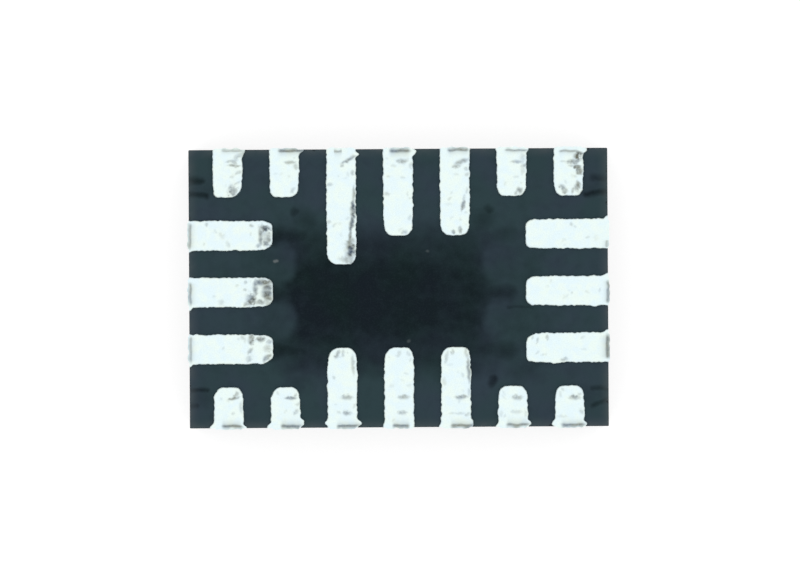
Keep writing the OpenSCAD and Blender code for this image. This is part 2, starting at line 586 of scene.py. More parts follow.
upper, lower = [
    maths("ADD", *(ramp("Y", *fade) for fade in fades)) for fades in (UPPER_FADES, LOWER_FADES)
]
dark = maths("MULTIPLY", upper, lower)
for fade in (LEFT_FADE, RIGHT_FADE):
    dark = maths("MULTIPLY", dark, ramp("X", *fade))
dark = maths("MULTIPLY", dark, maths("SUBTRACT", 1.0, ramp("X", *PALER_RIGHT)))
dark = strongest(dark, tone_patch(**VEIL))
print("dark middle from", round(core_left, 2), "to", round(core_right, 2), "mm")

# %% [markdown]
# Between the side leads there is no copper, so the slate comes further in there, in two round-ended
# tongues on each side. In line with each side lead a dark finger joins its pad to the middle.

# %% Tongues and fingers
TONGUE_START = 0.98
TONGUE_HALF = 0.118
TONGUE_CORNER = 0.09
TONGUE_SOFT = 0.07
TONGUE_TONE = 0.24
FINGER_HALF = 0.062
FINGER_DROP = 0.012
FINGER_CORNER = 0.06
FINGER_SOFT = 0.11
RIGHT_FINGERS = {"lead_08": 0.45, "lead_09": 0.72, "lead_10": 0.66}
LEFT_FINGERS = {"lead_18": 0.84, "lead_19": 0.84, "lead_20": 0.84}
FINGER_ENDS = {
    "left": (-finger_end - 0.03, core_left + 0.10),
    "right": (core_right - 0.10, finger_end - 0.06),
}
half_pitch = abs(leads["lead_08"]["middle"] - leads["lead_09"]["middle"]) / 2
tongues = []
for start_x, tip in ((-TONGUE_START, core_left), (TONGUE_START, core_right)):
    for y in (frame_middle - half_pitch, frame_middle + half_pitch):
        tongues.append(tone_bar(start_x, tip, y, TONGUE_HALF, TONGUE_CORNER, TONGUE_SOFT, 1.0))
pale = strongest(*tongues)
dark = maths("MULTIPLY", dark, maths("SUBTRACT", 1.0, pale))
dark = maths("ADD", dark, maths("MULTIPLY", pale, TONGUE_TONE))
fingers = RIGHT_FINGERS | LEFT_FINGERS
for name, tone in fingers.items():
    wall = leads[name]["wall"]
    y = frame_middle + ROW_SIGN[wall] * leads[name]["middle"] - FINGER_DROP
    finger = tone_bar(*FINGER_ENDS[wall], y, FINGER_HALF, FINGER_CORNER, FINGER_SOFT, tone)
    dark = strongest(dark, finger)
print("tongues:", len(tongues), "fingers:", len(fingers))

# %% [markdown]
# Each tie bar ends in a short wall, and a pair of dark streaks is painted along its two edges. No pair is
# alike, so each streak has its own length, width and strength. A few smudges and small pale specks lie
# scattered on the face.

# %% Streaks over the tie bars
# For each corner lead the inner streak, then the outer one: (length, width, strength, lean in degrees)
STREAKS = {
    "lead_01": ((0.150, 0.040, 0.85, -6), (0.110, 0.050, 0.95, 4)),
    "lead_07": ((0.165, 0.036, 0.85, 6), (0.125, 0.050, 0.62, -4)),
    "lead_11": ((0.135, 0.036, 0.62, 0), (0.130, 0.034, 0.70, 16)),
    "lead_17": ((0.150, 0.034, 0.80, 2), (0.070, 0.040, 0.62, 0)),
}
PAST_WALL = 0.02
SHADE_REACH = 0.88
TIE_SHADE = {"half_width": 0.06, "corner": 0.05, "soft": 0.1, "strength": 0.2}
for name, pair in STREAKS.items():
    tie_edges = leads[name]["tie"][1:]
    way = ROW_SIGN[leads[name]["wall"]]
    side = math.copysign(1, leads[name]["middle"] * way)
    wall_x = side * body_high[0]
    for edge, (length, width, strength, lean) in zip(tie_edges, pair):
        ends = (wall_x + side * PAST_WALL, wall_x - side * length)
        streak = tone_bar(*ends, edge * way + frame_middle, width / 2, width / 2, width, strength, lean)
        dark = strongest(dark, streak)
    y = sum(tie_edges) / 2 * way + frame_middle
    dark = strongest(dark, tone_bar(wall_x, SHADE_REACH * wall_x, y, **TIE_SHADE))
print("streaks:", 2 * len(STREAKS))

# %% Smudges and beads
# Each one is (x, y, half length, half width, strength, lean in degrees)
SMUDGES = (
    (-0.735, 0.535, 0.034, 0.026, 0.62, 30),
    (0.635, 0.555, 0.040, 0.026, 0.62, -35),
    (0.655, -0.660, 0.026, 0.047, 0.74, -10),
    (0.850, -0.140, 0.100, 0.014, 0.50, 0),
    (-0.650, 0.450, 0.090, 0.100, 0.48, 30),
    (0.590, 0.450, 0.090, 0.100, 0.42, -40),
    (-0.700, -0.580, 0.090, 0.130, 0.34, 0),
    (0.880, -0.570, 0.150, 0.080, 0.28, 10),
    (-0.520, -0.370, 0.160, 0.080, 0.92, 0),
)
# Small specks of paler colour on the face, in the same columns
PALE_SPECKS = (
    (-0.862, 0.196, 0.019, 0.011, 0.95, 20),
    (0.212, 0.262, 0.009, 0.009, 0.32, 0),
    (0.067, -0.370, 0.011, 0.011, 0.35, 0),
)
SMUDGE_SOFTNESS = 1.6
SPECK_SOFTNESS = 1.5
dark = strongest(dark, *(tone_spot(*smudge, SMUDGE_SOFTNESS) for smudge in SMUDGES))
pale_specks = strongest(*(tone_spot(*pale_speck, SPECK_SOFTNESS) for pale_speck in PALE_SPECKS))
print("smudges:", len(SMUDGES), "beads:", len(PALE_SPECKS))

# %% Colour, grain and gloss of the moulded face
SLATE = (0.0247, 0.0528, 0.0610, 1)
SLATE_VIOLET = (0.0292, 0.0500, 0.0692, 1)
BLACK_TEAL = (0.0010, 0.0102, 0.0116, 1)
BLACK_NAVY = (0.0023, 0.0080, 0.0142, 1)
SILICA_GREY = (0.06, 0.08, 0.09, 1)
RUBBED = (0.082, 0.102, 0.110, 1)
SPECK_PALE = (0.13, 0.155, 0.16, 1)
EDGE_BAND = 0.08
cloud = add_speckle(place_mm, grain=0.09, detail=4.0)
grain = add_speckle(place_mm, grain=0.012, detail=2.0)
drift = add_speckle(place_mm, grain=0.35)
mottled = maths("ADD", dark, spread(cloud, -0.12, 0.14), clamp=True)
hue = spread(drift, 0.0, 1.0, from_low=0.38, from_high=0.62)
slate = blend_colour(hue, SLATE, SLATE_VIOLET)
black = blend_colour(hue, BLACK_TEAL, BLACK_NAVY)
colour = blend_colour(mottled, slate, black)
colour = blend_colour(spread(grain, 0.0, 0.12, from_low=0.45, from_high=0.75), colour, SILICA_GREY)
reach = (body_high[0], body_high[1], ANY_HEIGHT)
inside = add_group(soft_patch, place_mm, Half_size=reach, Corner_mm=EDGE_BAND, Soft_mm=2 * EDGE_BAND)
rim = maths("SUBTRACT", 1.0, inside.outputs["Mask"])
rim = maths("MULTIPLY", rim, spread(cloud, 0.5, 1.6), clamp=True)
colour = blend_colour(rim, colour, RUBBED)
# Small specks of paler colour
colour = blend_colour(pale_specks, colour, SPECK_PALE)
dress(shader, colour, spread(grain, 0.55, 0.75))
shader.inputs["Specular IOR Level"].default_value = 0.12
add_bump(shader, grain, depth_mm=0.0012, strength=0.5)
print("material", moulded_face.name)

# %% [markdown]
# The walls were cut by a saw, which slices the silica beads through, so they are greyer and carry level
# lines, with painted shade in the grooves between them. The marked face is the same epoxy with the fine,
# even grain of the mould it was pressed in.

# %% Sawn face
SAWN_DARK = (0.020, 0.028, 0.034, 1)
SAWN_PALE = (0.036, 0.046, 0.052, 1)
SAW_GROOVE_SHADE = (0.014, 0.018, 0.021, 1)
CUT_SILICA = (0.135, 0.145, 0.150, 1)
SMALL_BEAD_SHARE = 0.8
BEAD_RELIEF = 0.3
sawn_epoxy, shader, place_mm = new_material("sawn_epoxy")
lines = add_group(saw_lines, place_mm, Spacing_mm=0.016).outputs["Value"]
large = add_group(cut_filler, place_mm, Spacing_mm=0.040).outputs["Mask"]
small = add_group(cut_filler, place_mm, Spacing_mm=0.016).outputs["Mask"]
cloud = add_speckle(place_mm, grain=0.14)
filler = maths("MAXIMUM", large, maths("MULTIPLY", small, SMALL_BEAD_SHARE))
colour = blend_colour(spread(cloud, 0.0, 1.0), SAWN_DARK, SAWN_PALE)
# Painted shade in the grooves between the saw lines
colour = blend_colour(spread(lines, 0.5, 0.0, from_low=0.35, from_high=0.55), colour, SAW_GROOVE_SHADE)
colour = blend_colour(filler, colour, CUT_SILICA)
dress(shader, colour, spread(lines, 0.50, 0.75))
shader.inputs["Specular IOR Level"].default_value = 0.25
relief = maths("ADD", lines, maths("MULTIPLY", filler, BEAD_RELIEF))
add_bump(shader, relief, depth_mm=0.004, strength=0.7)
print("material", sawn_epoxy.name)

# %% Marked face
MARKED_DARK = (0.016, 0.018, 0.020, 1)
MARKED_PALE = (0.026, 0.028, 0.030, 1)
marked_face, shader, place_mm = new_material("marked_face")
grain = add_speckle(place_mm, grain=0.016)
cloud = add_speckle(place_mm, grain=0.2)
colour = blend_colour(spread(cloud, 0.0, 1.0), MARKED_DARK, MARKED_PALE)
dress(shader, colour, spread(grain, 0.5, 0.72))
shader.inputs["Specular IOR Level"].default_value = 0.3
add_bump(shader, grain, depth_mm=0.004, strength=0.8)
print("material", marked_face.name)

# %% [markdown]
# ## Tin and copper
#
# The pads are plated with matte tin, almost white, with a fine grain. Test probes and the saw have left
# grey strokes, smears and dull patches. A bump texture could fake them, but they are modelled in the mesh,
# and how scarred each point is goes into an attribute called "mark", so that the finish is duller exactly
# where the metal is dented. The same attribute also darkens the colour there, as painted shade of the
# dents' slopes. The sawn ends are bare copper, with tin dragged down over their upper edge.

# %% Tin plate
TIN_PALE = (0.885, 1.0, 0.955, 1)
TIN_COOL = (0.810, 0.950, 0.990, 1)
TIN_GRAIN = (0.74, 0.855, 0.86, 1)
SCAR_SHADE_BLUE = (0.096, 0.130, 0.178, 1)
SCAR_SHADE_BROWN = (0.145, 0.146, 0.104, 1)
SCAR_DULLNESS = 0.15
tin_plate, shader, place_mm = new_material("tin_plate")
mark = place_mm.id_data.nodes.new("ShaderNodeAttribute")
mark.attribute_name = "mark"
fine = add_speckle(place_mm, grain=0.010)
broad = add_speckle(place_mm, grain=0.06)
tint = add_speckle(place_mm, grain=0.09, detail=2.0)
tin = blend_colour(spread(broad, 0.0, 1.0, from_low=0.38, from_high=0.62), TIN_COOL, TIN_PALE)
tin = blend_colour(spread(fine, 0.45, 0.0, from_low=0.28, from_high=0.5), tin, TIN_GRAIN)
# The scar colours are painted shade of the dents' slopes; the added roughness is the metal's own dullness
scar_and_shade = blend_colour(spread(tint, 0.0, 1.0, from_low=0.40, from_high=0.60), SCAR_SHADE_BLUE, SCAR_SHADE_BROWN)
wear_and_shade = maths("MULTIPLY", mark.outputs["Fac"], spread(fine, 0.88, 1.10), clamp=True)
dullness = maths("MULTIPLY", wear_and_shade, SCAR_DULLNESS)
roughness = maths("ADD", spread(broad, 0.31, 0.41), dullness)
dress(shader, blend_colour(wear_and_shade, tin, scar_and_shade), roughness)
shader.inputs["Metallic"].default_value = 1.0
add_bump(shader, fine, depth_mm=0.0015, strength=0.6)
print("material", tin_plate.name)

# %% Sawn copper
COPPER_DARK = (0.50, 0.225, 0.125, 1)
COPPER_PALE = (0.70, 0.375, 0.245, 1)
COPPER_GROOVE_SHADE = (0.27, 0.115, 0.065, 1)
DRAGGED_TIN = (0.84, 0.84, 0.83, 1)
SMEAR_EDGE = 0.02
SMEAR_END = 0.035
SMEAR_RAGGED = 0.02
sawn_copper, shader, place_mm = new_material("sawn_copper")
lines = add_group(saw_lines, place_mm, Spacing_mm=0.014).outputs["Value"]
cloud = add_speckle(place_mm, grain=0.05)
height = add_node("ShaderNodeSeparateXYZ", (place_mm,))
ragged = maths("ADD", height.outputs["Z"], spread(cloud, -SMEAR_RAGGED, SMEAR_RAGGED))
smear = spread(ragged, 0.0, 1.0, pad_z - SMEAR_END, pad_z - SMEAR_EDGE)
colour = blend_colour(spread(cloud, 0.0, 1.0), COPPER_DARK, COPPER_PALE)
# Painted shade in the grooves between the saw lines
colour = blend_colour(spread(lines, 0.75, 0.0, from_low=0.32, from_high=0.56), colour, COPPER_GROOVE_SHADE)
dress(shader, blend_colour(smear, colour, DRAGGED_TIN), spread(lines, 0.34, 0.55))
shader.inputs["Metallic"].default_value = 1.0
add_bump(shader, lines, depth_mm=0.003, strength=0.7)
print("material", sawn_copper.name)

# %% Etched copper
ETCHED_DARK = (0.46, 0.22, 0.13, 1)
ETCHED_PALE = (0.70, 0.40, 0.27, 1)
etched_copper, shader, place_mm = new_material("etched_copper")
pits = add_speckle(place_mm, grain=0.014)
colour = blend_colour(spread(pits, 0.0, 1.0), ETCHED_DARK, ETCHED_PALE)
dress(shader, colour, spread(pits, 0.40, 0.60))
shader.inputs["Metallic"].default_value = 1.0
add_bump(shader, pits, depth_mm=0.003, strength=0.7)
print("material", etched_copper.name)

# %% [markdown]
# ## The epoxy block
#
# The block is one solid, pressed round the leads and sawn out of a strip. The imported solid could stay,
# but its edges are knife sharp. So the block starts as a box of the frame's size, its edges are broken by
# a very small bevel, small chips are knocked out of the sawn edges, each lead cuts its own pocket, and the
# laser dot is sunk into the marked face.

# %% Block
EDGE_BREAK = 0.006
EDGE_STEPS = 2
mould = add_box("mould_body_skin", body_low, body_high)
pick(mould, "EDGE", everything)
bpy.ops.mesh.bevel(offset=EDGE_BREAK, segments=EDGE_STEPS, affect="EDGES")
leave_edit()
print("block faces:", len(mould.data.polygons))

# %% Chips along the sawn edges
CHIPS_PER_EDGE = 9
MOULDED_EDGE_CHIP = 0.020
MARKED_EDGE_CHIP = 0.014
LEAST_CHIP = 0.35
CHIP_STRETCH = (0.5, 1.3)
CHIP_PLACE = (0.1, 0.9)
CHIP_SEED = 7
WHOLE_TURN = 6.28
generator = np.random.default_rng(CHIP_SEED)
corners = [np.array(corner) for corner in ((-1, -1, 0), (1, -1, 0), (1, 1, 0), (-1, 1, 0))]
chips = []
for level, largest in ((mould_z, MOULDED_EDGE_CHIP), (0.0, MARKED_EDGE_CHIP)):
    for first, last in zip(corners, corners[1:] + corners[:1]):
        places = np.arange(CHIPS_PER_EDGE) + generator.uniform(*CHIP_PLACE, CHIPS_PER_EDGE)
        for share in places / CHIPS_PER_EDGE:
            x, y, _ = (first + (last - first) * share) * body_high
            size = generator.uniform(LEAST_CHIP, 1.0) * largest
            bpy.ops.object.select_all(action="DESELECT")
            bpy.ops.mesh.primitive_ico_sphere_add(subdivisions=1, radius=size, location=(x, y, level))
            chip = bpy.context.object
            chip.scale = generator.uniform(*CHIP_STRETCH, 3)
            chip.rotation_euler = generator.uniform(0, WHOLE_TURN, 3)
            chips.append(chip)
chip_count = len(chips)
chip_tool = join(chips)
apply_place()
combine(mould, chip_tool, "DIFFERENCE")
print("chips:", chip_count, "block faces:", len(mould.data.polygons))

# %% [markdown]
# A pocket has the shape of its lead: a bar with two rounded corners at its inner end. The same bar makes
# the leads themselves, so it is a function. Tools run a little past the wall, and a hair's breadth past
# faces that would lie in one plane, so that each cut is clean.

# %% Rounded bars
CORNER_STEPS = 10
OVERCUT = 0.05
HAIR = 0.0005
# A lead in the middle of a row has no tie bar, so its tip shows what its corners leave of its width
plain = leads["lead_02"]
tip = facing_wall(node_points("lead_02"), plain["wall"])
tip = tip[np.isclose(tip[:, 1], plain["tongue_end"], atol=CLOSE)]
lead_corner = float(plain["width"] - np.ptp(tip[:, 0])) / 2


def rounded_bar(name, width, inner, outer, low, high):
    bar = add_box(name, (-width / 2, inner, low), (width / 2, outer, high))

    def inner_corner(points, edge):
        return np.allclose(points[:, 1], inner, atol=CLOSE) and np.ptp(points[:, 2]) > CLOSE

    pick(bar, "EDGE", inner_corner)
    bpy.ops.mesh.bevel(offset=lead_corner, segments=CORNER_STEPS, affect="EDGES")
    leave_edit()
    return bar


def tongue_bar(lead):
    width = lead["width"] - 2 * HAIR
    outer = lead["outer"] - OVERCUT
    return rounded_bar("tongue", width, lead["tongue_end"], outer, frame_z + HAIR, etched_z)


def tie_bar(lead, overcut=0.0):
    reach, low, high = lead["tie"]
    reach += math.copysign(overcut, reach)
    return add_box("tie", (min(0, reach), low, frame_z + HAIR), (max(0, reach), high, etched_z))


def to_wall(obj, lead):
    place(obj, move=(lead["middle"], 0, 0))
    place(obj, move=(0, frame_middle, 0), turn=TURNS[lead["wall"]])


print("corner radius of a lead:", round(lead_corner, 4))

# %% Pockets for the leads
for lead in leads.values():
    outer = lead["outer"] + OVERCUT
    tools = [
        rounded_bar("pocket", lead["width"], lead["pad_end"], outer, frame_z, pad_z + OVERCUT),
        tongue_bar(lead),
    ]
    if lead["tie"]:
        tools.append(tie_bar(lead, OVERCUT))
    for tool in tools:
        to_wall(tool, lead)
        combine(mould, tool, "DIFFERENCE")
print("block faces with pockets:", len(mould.data.polygons))

# %% [markdown]
# The epoxy also closes round the die and fills in between its pillars. That room can't be seen, but the
# block would overlap the die without it. A copy of the pillars' solid, merged and parted into loose
# pieces, tells where each pillar stands. One tool, a short round bar that widens into the solder, is then
# copied to every place.

# %% Room for the die, and where its pillars stand
die_low, die_high = [np.array(corner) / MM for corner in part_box("silicon_die")]
combine(mould, add_box("die_room", die_low, die_high), "DIFFERENCE")

pillars = copy_of(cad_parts["copper_pillars"], "pillar_places")
place(pillars, scale=1 / MM)
pick(pillars, "FACE", everything)
bpy.ops.mesh.remove_doubles(threshold=HAIR)
bpy.ops.mesh.separate(type="LOOSE")
leave_edit()
spots = []
for part in list(bpy.context.selected_objects):
    points = np.array([v.co for v in part.data.vertices])
    spots.append((points.min(0) + points.max(0)) / 2)
    pillar_radius = np.ptp(points[:, 0]) / 2
    bpy.data.objects.remove(part, do_unlink=True)
spots.sort(key=tuple)
solder_points = node_points("solder_joints")
solder_low, solder_high = solder_points[:, 2].min(), solder_points[:, 2].max()
solder_radius = solder_points[:, 0].max() - max(spot[0] for spot in spots)
print("pillars:", len(spots), "radius", round(pillar_radius, 4), "with solder", round(solder_radius, 4))

# %% One tool for a pillar, copied to each place
PILLAR_SIDES = 48
PAST_SOLDER = 5 * HAIR
FACING = 0.8
foot = die_high[2] - HAIR
ring = solder_high - HAIR
wider = solder_radius / pillar_radius
bpy.ops.object.select_all(action="DESELECT")
bpy.ops.mesh.primitive_cylinder_add(
    vertices=PILLAR_SIDES,
    radius=pillar_radius,
    depth=solder_low - foot,
    location=(0, 0, (foot + solder_low) / 2),
)
tool = bpy.context.object
apply_place()
pick(tool, "FACE", lambda points, face: face.normal.z > FACING)
bpy.ops.mesh.extrude_region_move(TRANSFORM_OT_translate={"value": (0, 0, ring - solder_low)})
bpy.ops.transform.resize(value=(wider, wider, 1), center_override=(0, 0, ring))
bpy.ops.mesh.extrude_region_move(TRANSFORM_OT_translate={"value": (0, 0, PAST_SOLDER)})
leave_edit()
rooms = [copy_of(tool, "room") for spot in spots]
for room, (x, y, _) in zip(rooms, spots):
    place(room, move=(x, y, 0))
bpy.data.objects.remove(tool, do_unlink=True)
combine(mould, join(rooms), "DIFFERENCE")
print("block faces with room for the die:", len(mould.data.polygons))

# %% Dot on the marked face
DOT_SIDES = 64
points = node_points("mould_body")
floor_of_dot = points[(points[:, 2] > CLOSE) & (points[:, 2] < die_low[2] / 2)]
dot_low, dot_high = floor_of_dot.min(0), floor_of_dot.max(0)
dot_width = dot_high[0] - dot_low[0]
bpy.ops.object.select_all(action="DESELECT")
bpy.ops.mesh.primitive_cylinder_add(
    vertices=DOT_SIDES,
    radius=dot_width / 2,
    depth=2 * dot_high[2],
    location=((dot_low[0] + dot_high[0]) / 2, (dot_low[1] + dot_high[1]) / 2, 0),
)
combine(mould, bpy.context.object, "DIFFERENCE")
print("dot", round(dot_width, 3), "mm across and", round(dot_high[2], 3), "deep")

# %% Finish of the block
SKIN_DEPTH = 0.02


def on_moulded_face(points, face):
    return face.normal.z > FACING and points[:, 2].min() > mould_z - SKIN_DEPTH


def on_marked_face(points, face):
    return face.normal.z < -FACING and points[:, 2].max() < SKIN_DEPTH


for material in (sawn_epoxy, moulded_face, marked_face):
    mould.data.materials.append(material)
set_finish(mould, 1, on_moulded_face)
set_finish(mould, 2, on_marked_face)
place(mould, scale=MM)
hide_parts("mould_body")
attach(mould, "root")
print("block:", len(mould.data.polygons), "faces")

# %% [markdown]
# ## The leads
#
# A lead is stamped and etched from copper sheet: a full bar under the pad, and a tongue of half the
# thickness that goes on under the die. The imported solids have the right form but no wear. Each size is
# modelled once: the bar and tongue are joined, the rim of the pad is rounded, and the top is sliced into
# fine squares so that it can take the wear. Copies then serve all leads of that size.

# %% One lead of each size
RIM = 0.012
RIM_STEPS = 4
SLICE = 0.004
FADE_DEPTH = 0.02
SAME_POINT = 1e-6


def slice_up(places, axis):
    normal = [0, 0, 0]
    normal[axis] = 1
    for spot in places:
        bpy.ops.mesh.select_all(action="SELECT")
        bpy.ops.mesh.bisect(plane_co=[spot * n for n in normal], plane_no=normal, threshold=SAME_POINT)


def plain_lead(lead):
    bar = rounded_bar("lead", lead["width"], lead["pad_end"], lead["outer"], frame_z, pad_z)
    combine(bar, tongue_bar(lead), "UNION")
    if lead["tie"]:
        combine(bar, tie_bar(lead), "UNION")

    def rim(points, edge):
        on_top = np.allclose(points[:, 2], pad_z, atol=CLOSE)
        return on_top and not np.allclose(points[:, 1], lead["outer"], atol=CLOSE)

    pick(bar, "EDGE", rim)
    bpy.ops.mesh.bevel(offset=RIM, segments=RIM_STEPS, affect="EDGES")
    slice_up([mould_z - FADE_DEPTH], 2)
    leave_edit()
    pick(bar, "FACE", lambda points, face: points[:, 2].mean() < mould_z - FADE_DEPTH)
    bpy.ops.mesh.hide(unselected=False)
    half = lead["width"] / 2
    slice_up([mould_z, (mould_z + pad_z) / 2], 2)
    slice_up(np.arange(-half + SLICE, half - SLICE / 2, SLICE), 0)
    slice_up(np.arange(lead["pad_end"] + SLICE, lead["outer"] - SLICE / 2, SLICE), 1)
    bpy.ops.mesh.reveal(select=False)
    leave_edit()
    return bar


def lead_kind(lead):
    tie_side = None if lead["tie"] is None else lead["tie"][0] > 0
    return round(lead["outer"], 3), round(lead["pad_end"], 3), tie_side


kinds = {}
for name, lead in leads.items():
    kind = lead_kind(lead)
    if kind not in kinds:
        kinds[kind] = plain_lead(lead)
        print(name, "is the first of its size, with", len(kinds[kind].data.polygons), "faces")

# %% [markdown]
# ## Wear on each pad
#
# No two pads look alike under the microscope. Probes have dragged short strokes across them, the saw has
# left a slit and a thrown-up lip along the cut, with small ears of metal at the corners, and some inner
# ends are rough and grey. These marks are dented into the mesh, and their grey is painted shade of the
# dents' slopes. Noise alone would make all pads alike, so lists give each mark's place on its pad: how far
# along the row from the lead's middle, then how far in from the wall. Lengths in the lists are in
# micrometres and strengths in percent.

# %% Slits, ears and corners seen on the pads
# A slit is a shallow groove along the cut, darkened with painted shadow: (start, end, from the wall,
# width, strength)
SLITS = {
    "lead_01": (-47, 100, 9, 10, 50), "lead_02": (-48, 118, 10, 16, 83),
    "lead_03": (-50, 8, 13, 16, 58), "lead_04": (-62, 82, 13, 20, 83),
    "lead_05": (-55, 98, 10, 15, 75), "lead_06": (-52, 105, 14, 11, 62),
    "lead_07": (-68, 64, 22, 13, 58), "lead_08": (-95, -45, 8, 12, 50),
    "lead_09": (-90, 70, 5, 11, 71), "lead_10": (-82, 85, 8, 18, 83),
    "lead_11": (-62, 100, 11, 17, 79), "lead_12": (-50, 100, 13, 19, 75),
    "lead_13": (-42, 110, 11, 19, 79), "lead_14": (-50, 72, 11, 18, 79),
    "lead_15": (-44, 102, 12, 16, 83), "lead_16": (-38, 100, 12, 19, 83),
    "lead_17": (-52, 88, 15, 18, 83), "lead_18": (-87, 92, 10, 13, 58),
    "lead_19": (-84, 72, 10, 14, 66), "lead_20": (-92, 90, 10, 14, 62),
}
# An ear is (side, from the wall, reach, half length)
EARS = {
    "lead_01": [(1, 0, 18, 35)], "lead_02": [(1, 0, 26, 26)], "lead_03": [(1, 38, 20, 14)],
    "lead_04": [(1, 25, 24, 22)], "lead_05": [], "lead_06": [(1, 0, 17, 22), (-1, 0, 9, 22)],
    "lead_07": [(1, 14, 27, 19)], "lead_08": [(1, 0, 20, 25)],
    "lead_09": [(1, 0, 15, 30), (-1, 95, 7, 20)], "lead_10": [(1, 0, 20, 25), (-1, 360, 8, 30)],
    "lead_11": [(-1, 26, 20, 22), (1, 18, 14, 18)], "lead_12": [(1, 28, 22, 18), (-1, 0, 15, 22)],
    "lead_13": [(1, 30, 16, 28), (-1, 0, 15, 22)], "lead_14": [(-1, 0, 8, 30)],
    "lead_15": [(-1, 33, 20, 15), (1, 32, 28, 18)], "lead_16": [(1, 38, 27, 24), (-1, 0, 28, 30)],
    "lead_17": [(-1, 0, 27, 30), (1, 0, 20, 18)], "lead_18": [(-1, 0, 16, 20)],
    "lead_19": [(-1, 0, 21, 24)], "lead_20": [(-1, 0, 12, 20)],
}
# The radii of the two inner corners, the one towards -X or -Y first
CORNERS = {
    "lead_01": (35, 85), "lead_02": (40, 70), "lead_03": (70, 50), "lead_04": (60, 60),
    "lead_05": (60, 65), "lead_06": (50, 60), "lead_07": (55, 50), "lead_08": (35, 45),
    "lead_09": (45, 55), "lead_10": (30, 70), "lead_11": (60, 60), "lead_12": (60, 55),
    "lead_13": (65, 50), "lead_14": (75, 55), "lead_15": (85, 65), "lead_16": (75, 65),
    "lead_17": (65, 55), "lead_18": (60, 50), "lead_19": (55, 45), "lead_20": (60, 40),
}
print("slits:", len(SLITS), "ears:", sum(len(ears) for ears in EARS.values()))

